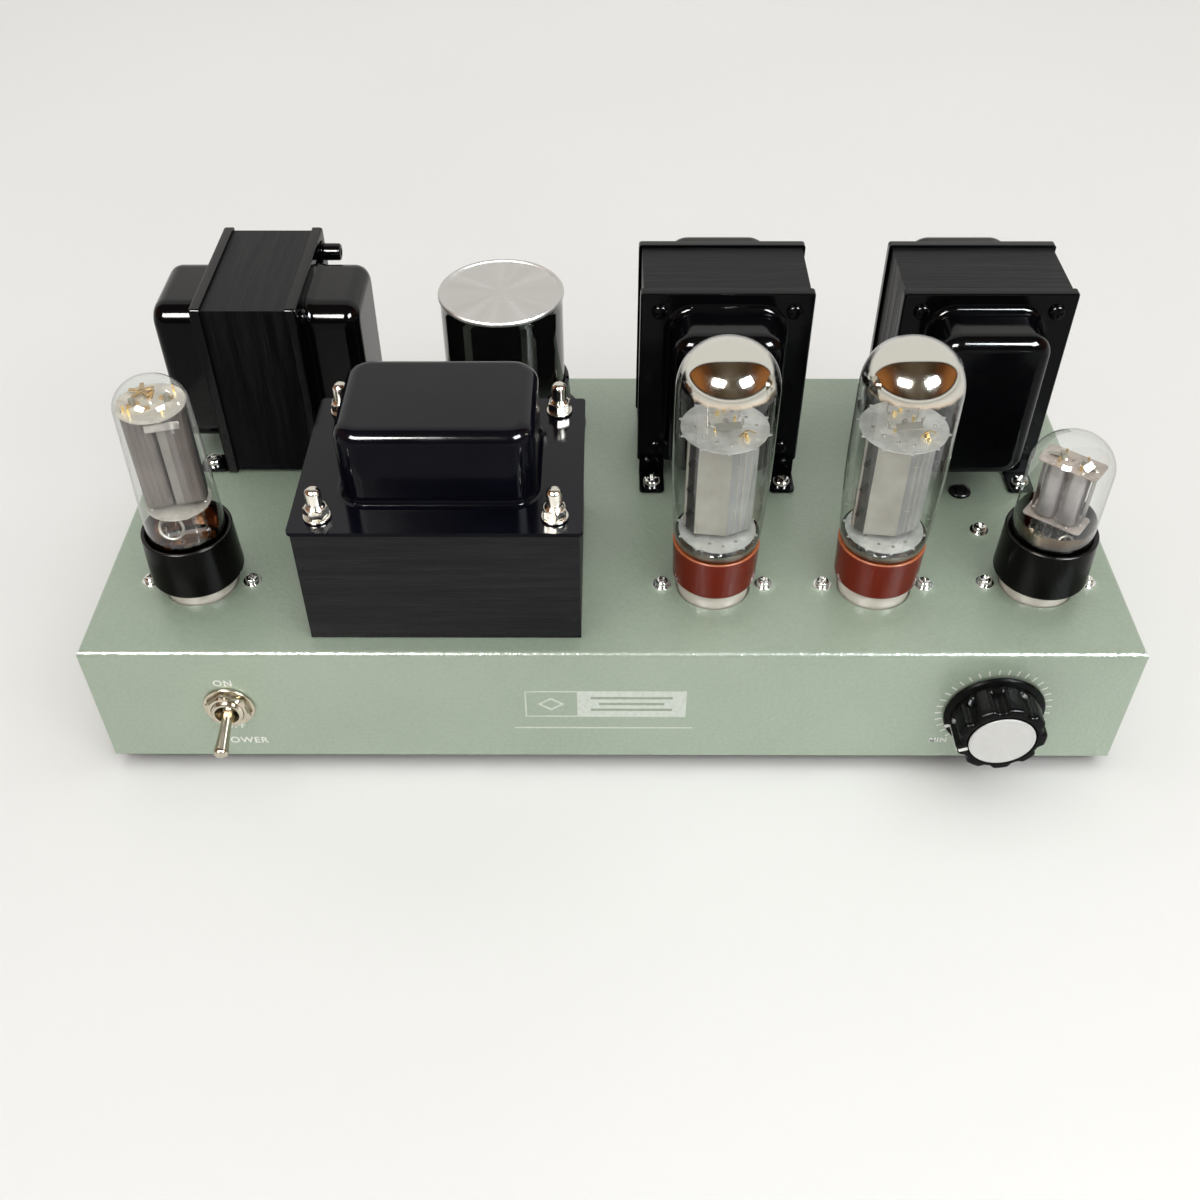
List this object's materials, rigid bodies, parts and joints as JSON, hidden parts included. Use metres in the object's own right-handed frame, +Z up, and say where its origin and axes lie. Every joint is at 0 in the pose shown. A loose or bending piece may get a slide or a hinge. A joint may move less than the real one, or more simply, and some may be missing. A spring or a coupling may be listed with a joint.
{
  "type": "tube amplifier",
  "caption": "Stereo tube amplifier: folded metal chassis with octal tubes, transformers and a filter can on its deck, a power toggle and a volume knob in front.",
  "frame": {"origin": "bottom centre of the bounding box, in the plane of the undersides of the feet", "axes": "+X to the viewer's right along the front panel, +Y from the front panel towards the rear connectors, +Z up"},
  "size_m": [0.38, 0.213, 0.166],
  "materials": {
    "chassis_coat": "semi-gloss hammered powder coat, sage grey-green",
    "black_paint": "glossy black enamel",
    "lamination": "black-varnished steel laminations",
    "copper": "varnished copper winding under paper",
    "nickel": "bright nickel plate",
    "zinc": "zinc-plated steel",
    "foot_rubber": "matt black rubber",
    "socket_ceramic": "white glaze",
    "brown_base": "red-brown moulded phenolic",
    "black_base": "black moulded phenolic",
    "tube_glass": "clear blown glass",
    "electrode_metal": "grey carbonised nickel plate with mica spacers",
    "can_aluminium": "brushed aluminium",
    "black_plastic": "glossy black plastic",
    "brass": "gold-plated brass",
    "board_laminate": "brown phenolic laminate"
  },
  "bodies": {
    "amplifier": {"chassis": "chassis_coat", "bottom_plate": "black_paint", "foot_front_left": "foot_rubber", "foot_rear_left": "foot_rubber", "foot_front_right": "foot_rubber", "foot_rear_right": "foot_rubber", "socket_rectifier": "socket_ceramic", "socket_power_left": "socket_ceramic", "socket_power_right": "socket_ceramic", "socket_driver": "socket_ceramic", "mains_core": "lamination", "mains_coil": "copper", "mains_bell": "black_paint", "mains_stud_front_left": "nickel", "mains_stud_rear_left": "nickel", "mains_stud_front_right": "nickel", "mains_stud_rear_right": "nickel", "choke_core": "lamination", "choke_coil": "copper", "choke_bell_left": "black_paint", "choke_bell_right": "black_paint", "output_left_core": "lamination", "output_left_coil": "copper", "output_left_bell_front": "black_paint", "output_left_bell_rear": "black_paint", "output_right_core": "lamination", "output_right_coil": "copper", "output_right_bell_front": "black_paint", "output_right_bell_rear": "black_paint", "capacitor_can": "can_aluminium", "capacitor_clamp": "black_plastic", "toggle_body": "nickel", "toggle_nut": "nickel", "volume_pot": "zinc", "mains_inlet": "black_plastic", "input_jacks": "brass", "speaker_posts_left": "brass", "speaker_posts_right": "brass", "component_board": "board_laminate"},
    "tube_rectifier": {"tube_rectifier_base": "black_base", "tube_rectifier_bulb": "tube_glass", "tube_rectifier_electrodes": "electrode_metal"},
    "tube_power_left": {"tube_power_left_base": "brown_base", "tube_power_left_bulb": "tube_glass", "tube_power_left_electrodes": "electrode_metal"},
    "tube_power_right": {"tube_power_right_base": "brown_base", "tube_power_right_bulb": "tube_glass", "tube_power_right_electrodes": "electrode_metal"},
    "tube_driver": {"tube_driver_base": "black_base", "tube_driver_bulb": "tube_glass", "tube_driver_electrodes": "electrode_metal"},
    "switch": {"toggle_lever": "nickel"},
    "volume": {"volume_shaft": "can_aluminium", "volume_knob": "black_plastic", "knob_cap": "can_aluminium"},
    "fuse": {"fuse_drawer": "black_plastic"},
    "cap_left_minus": {"post_cap_left_minus": "black_plastic"},
    "cap_left_plus": {"post_cap_left_plus": "black_plastic"},
    "cap_right_minus": {"post_cap_right_minus": "black_plastic"},
    "cap_right_plus": {"post_cap_right_plus": "black_plastic"}
  },
  "joints": [
    {"name": "rectifier_pull", "type": "slide", "parent": "amplifier", "child": "tube_rectifier", "axis": [0, 0, 1], "range_m": [0, 0.022]},
    {"name": "power_left_pull", "type": "slide", "parent": "amplifier", "child": "tube_power_left", "axis": [0, 0, 1], "range_m": [0, 0.022]},
    {"name": "power_right_pull", "type": "slide", "parent": "amplifier", "child": "tube_power_right", "axis": [0, 0, 1], "range_m": [0, 0.022]},
    {"name": "driver_pull", "type": "slide", "parent": "amplifier", "child": "tube_driver", "axis": [0, 0, 1], "range_m": [0, 0.022]},
    {"name": "switch_throw", "type": "hinge", "parent": "amplifier", "child": "switch", "pos_m": [-0.1405, -0.08681, 0.0343], "axis": [-1, 0, 0], "range_deg": [0, 27]},
    {"name": "volume_turn", "type": "hinge", "parent": "amplifier", "child": "volume", "pos_m": [0.1406, -0.09, 0.0328], "axis": [0, 1, 0], "range_deg": [-25, 245]},
    {"name": "fuse_pull", "type": "slide", "parent": "amplifier", "child": "fuse", "axis": [0, 1, 0], "range_m": [0, 0.015]},
    {"name": "cap_left_minus_open", "type": "slide", "parent": "amplifier", "child": "cap_left_minus", "axis": [0, 1, 0], "range_m": [0, 0.005]},
    {"name": "cap_left_plus_open", "type": "slide", "parent": "amplifier", "child": "cap_left_plus", "axis": [0, 1, 0], "range_m": [0, 0.005]},
    {"name": "cap_right_minus_open", "type": "slide", "parent": "amplifier", "child": "cap_right_minus", "axis": [0, 1, 0], "range_m": [0, 0.005]},
    {"name": "cap_right_plus_open", "type": "slide", "parent": "amplifier", "child": "cap_right_plus", "axis": [0, 1, 0], "range_m": [0, 0.005]}
  ]
}
